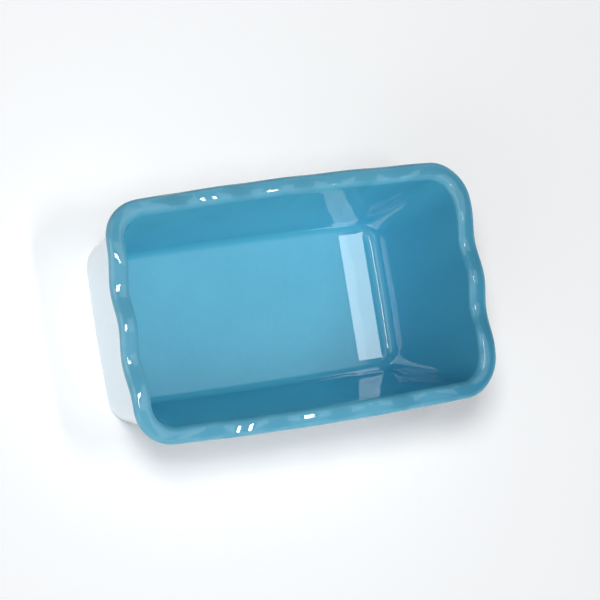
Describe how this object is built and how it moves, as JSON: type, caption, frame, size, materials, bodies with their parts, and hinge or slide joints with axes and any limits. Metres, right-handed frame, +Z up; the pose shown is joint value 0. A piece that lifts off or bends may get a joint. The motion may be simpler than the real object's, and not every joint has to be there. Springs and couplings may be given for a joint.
{
  "type": "loaf pan",
  "caption": "Rectangular ceramic loaf pan with tapered walls, rounded corners and a flared, softly ruffled lip; turquoise glaze inside, white outside, dry foot ring.",
  "frame": {"origin": "on the table, under the middle of the pan, at the bottom of the foot ring", "axes": "+X along the pan, +Y across it, +Z up through the open top"},
  "size_m": [0.266, 0.1552, 0.0773],
  "materials": {
    "stoneware": "matte, bare fired clay",
    "turquoise_glaze": "glossy glaze, paler where it breaks over edges",
    "white_glaze": "glossy glaze"
  },
  "bodies": {
    "root": {"stoneware_body": "stoneware", "interior_glaze": "turquoise_glaze", "exterior_glaze": "white_glaze", "underside_glaze": "white_glaze"}
  },
  "joints": []
}
